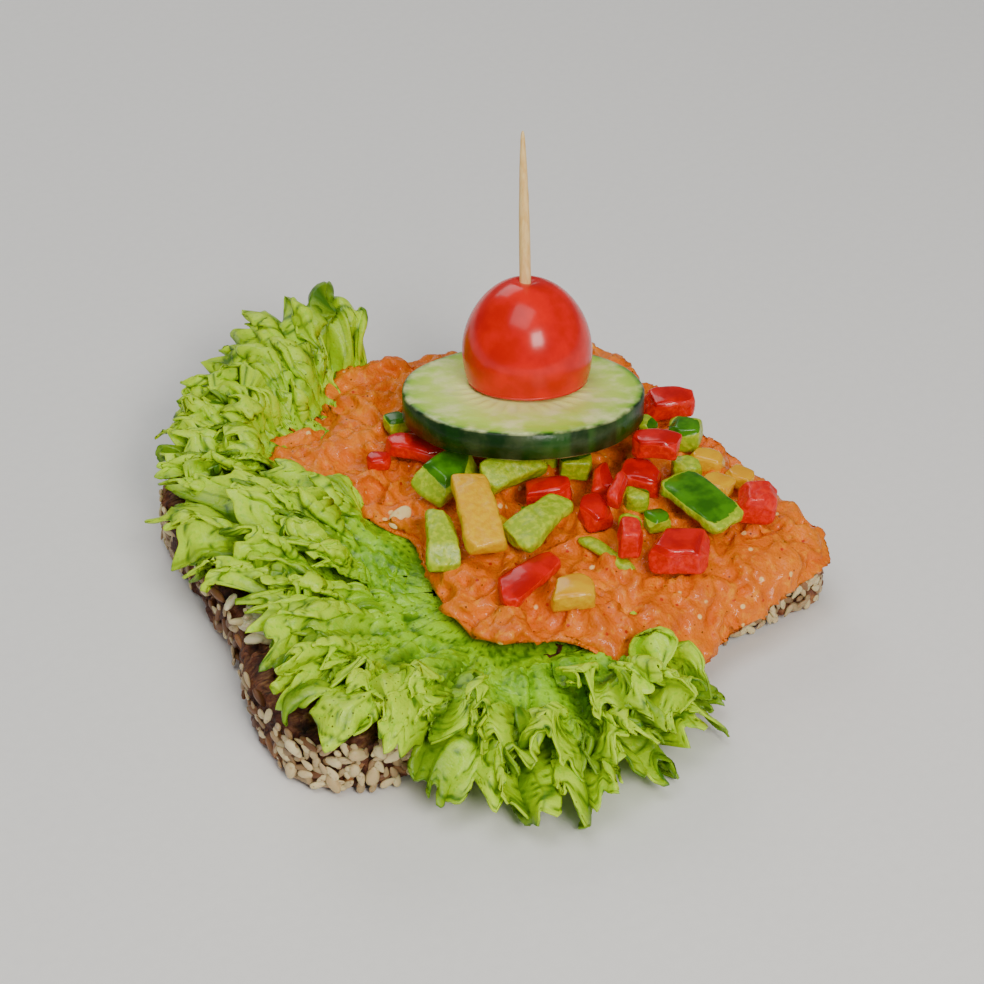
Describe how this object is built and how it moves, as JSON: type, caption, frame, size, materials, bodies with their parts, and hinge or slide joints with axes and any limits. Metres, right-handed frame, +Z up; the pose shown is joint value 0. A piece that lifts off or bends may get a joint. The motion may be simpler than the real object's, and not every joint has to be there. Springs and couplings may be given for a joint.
{
  "type": "open sandwich",
  "caption": "Open sandwich: seeded bread slice with frilly lettuce, orange spread, diced sweet pepper, a cucumber slice and half a cherry tomato held by a cocktail pick.",
  "frame": {"origin": "centre of the bread's flat underside, which rests on the plate", "axes": "+Z up, +X along the slice's straight bottom crust, +Y towards its domed top crust"},
  "size_m": [0.1033, 0.1329, 0.0723],
  "materials": {
    "bread": "rough seeded crumb and crust",
    "lettuce": "soft satin leaf",
    "orange_spread": "moist and lumpy",
    "red_pepper": "glossy skin, moist flesh",
    "yellow_pepper": "glossy skin, moist flesh",
    "green_pepper": "glossy skin, pale moist flesh",
    "cucumber": "moist pale flesh in a dark green rind",
    "tomato": "smooth glossy skin",
    "pick_wood": "bare turned wood"
  },
  "bodies": {
    "root": {"bread_slice": "bread", "cherry_tomato_half": "tomato", "cocktail_pick": "pick_wood", "cucumber_slice": "cucumber", "green_pepper_01": "green_pepper", "green_pepper_02": "green_pepper", "green_pepper_03": "green_pepper", "green_pepper_04": "green_pepper", "green_pepper_05": "green_pepper", "green_pepper_06": "green_pepper", "green_pepper_07": "green_pepper", "green_pepper_08": "green_pepper", "green_pepper_09": "green_pepper", "green_pepper_10": "green_pepper", "green_pepper_11": "green_pepper", "green_pepper_12": "green_pepper", "green_pepper_13": "green_pepper", "green_pepper_14": "green_pepper", "green_pepper_15": "green_pepper", "green_pepper_16": "green_pepper", "lettuce_leaf_back": "lettuce", "lettuce_leaf_front": "lettuce", "red_pepper_01": "red_pepper", "red_pepper_02": "red_pepper", "red_pepper_03": "red_pepper", "red_pepper_04": "red_pepper", "red_pepper_05": "red_pepper", "red_pepper_06": "red_pepper", "red_pepper_07": "red_pepper", "red_pepper_08": "red_pepper", "red_pepper_09": "red_pepper", "red_pepper_10": "red_pepper", "red_pepper_11": "red_pepper", "red_pepper_12": "red_pepper", "red_pepper_13": "red_pepper", "tomato_spread": "orange_spread", "yellow_pepper_01": "yellow_pepper", "yellow_pepper_02": "yellow_pepper", "yellow_pepper_03": "yellow_pepper", "yellow_pepper_04": "yellow_pepper", "yellow_pepper_05": "yellow_pepper", "yellow_pepper_06": "yellow_pepper"}
  },
  "joints": []
}
